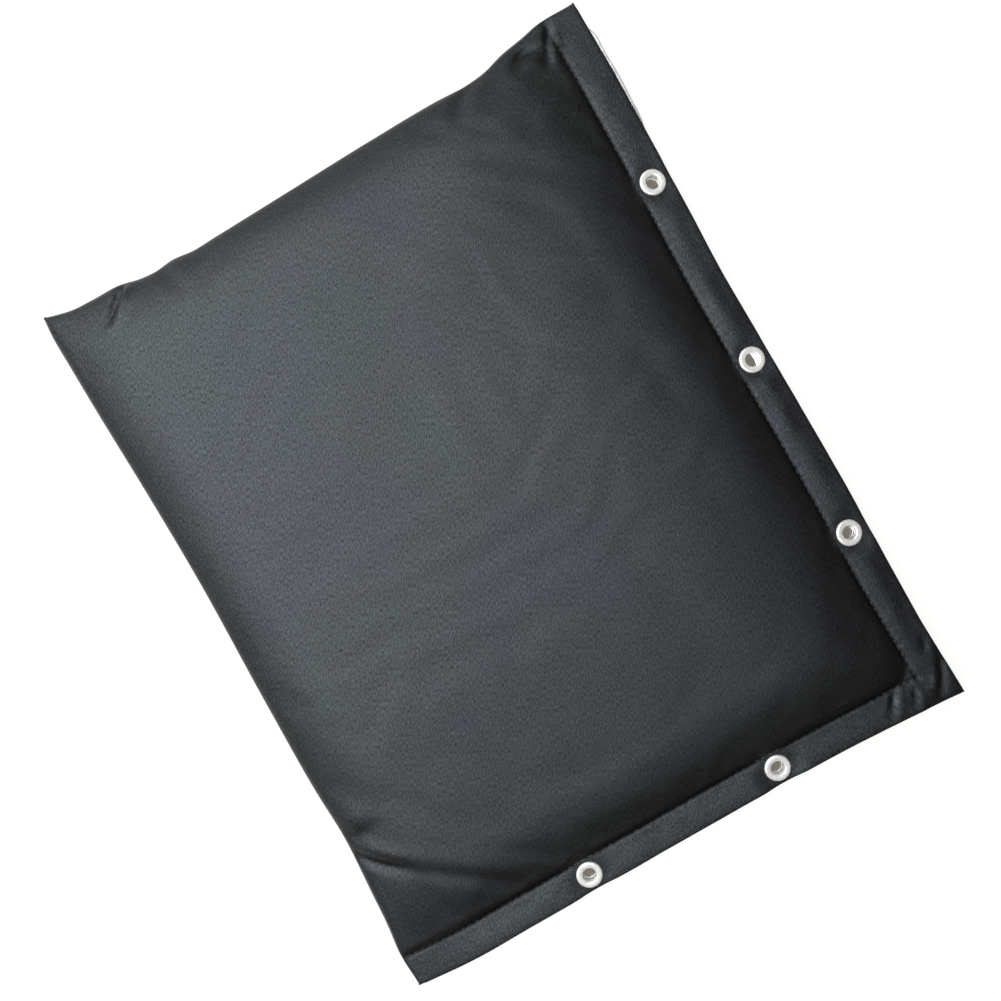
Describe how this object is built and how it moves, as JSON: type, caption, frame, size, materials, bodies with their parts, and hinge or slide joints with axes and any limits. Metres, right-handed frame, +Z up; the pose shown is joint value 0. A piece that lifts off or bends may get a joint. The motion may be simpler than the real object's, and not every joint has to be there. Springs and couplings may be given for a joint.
{
  "type": "insulated cover pouch",
  "caption": "Flat padded rectangular pouch, seamed along adjacent sides and open along the others, with flat stitched flanges, metal eyelets, a foil lining and a corner that folds back.",
  "frame": {"origin": "on the ground under the middle of the outline's box, as the pouch lies on its back panel", "axes": "+X toward the long open side, +Y along the length toward the short seamed side, +Z up out of the front panel"},
  "size_m": [0.356, 0.45, 0.03],
  "materials": {
    "oxford_cloth": "black coated woven polyester with a faint blue-grey sheen",
    "wadding": "bonded white fibre wadding",
    "foil_lining": "silver metallised film on cloth, lightly crinkled",
    "thread": "twisted black polyester thread",
    "nickel": "bright nickel plate"
  },
  "bodies": {
    "pouch": {"back_shell": "oxford_cloth", "back_batting": "wadding", "back_lining": "foil_lining", "front_shell_sewn_side": "oxford_cloth", "front_batting_sewn_side": "wadding", "front_lining_sewn_side": "foil_lining", "closed_seam_stitching": "thread", "back_side_topstitch": "thread", "back_near_topstitch": "thread", "front_side_topstitch_sewn_end": "thread", "front_near_topstitch_sewn_end": "thread", "back_eyelet_1": "nickel", "back_eyelet_2": "nickel", "back_eyelet_3": "nickel", "back_eyelet_4": "nickel", "back_eyelet_5": "nickel", "back_washer_1": "nickel", "back_washer_2": "nickel", "back_washer_3": "nickel", "back_washer_4": "nickel", "back_washer_5": "nickel"},
    "front_corner": {"front_shell_free_corner": "oxford_cloth", "front_batting_free_corner": "wadding", "front_lining_free_corner": "foil_lining", "front_side_topstitch_free": "thread", "front_near_topstitch_free": "thread", "front_eyelet_1": "nickel", "front_eyelet_2": "nickel", "front_eyelet_3": "nickel", "front_eyelet_4": "nickel", "front_eyelet_5": "nickel", "front_washer_1": "nickel", "front_washer_2": "nickel", "front_washer_3": "nickel", "front_washer_4": "nickel", "front_washer_5": "nickel"}
  },
  "joints": [
    {"name": "corner_fold", "type": "hinge", "parent": "pouch", "child": "front_corner", "pos_m": [0.025, -0.025, 0.0304], "axis": [-0.6, -0.8, 0], "range_deg": [0, 120]}
  ]
}
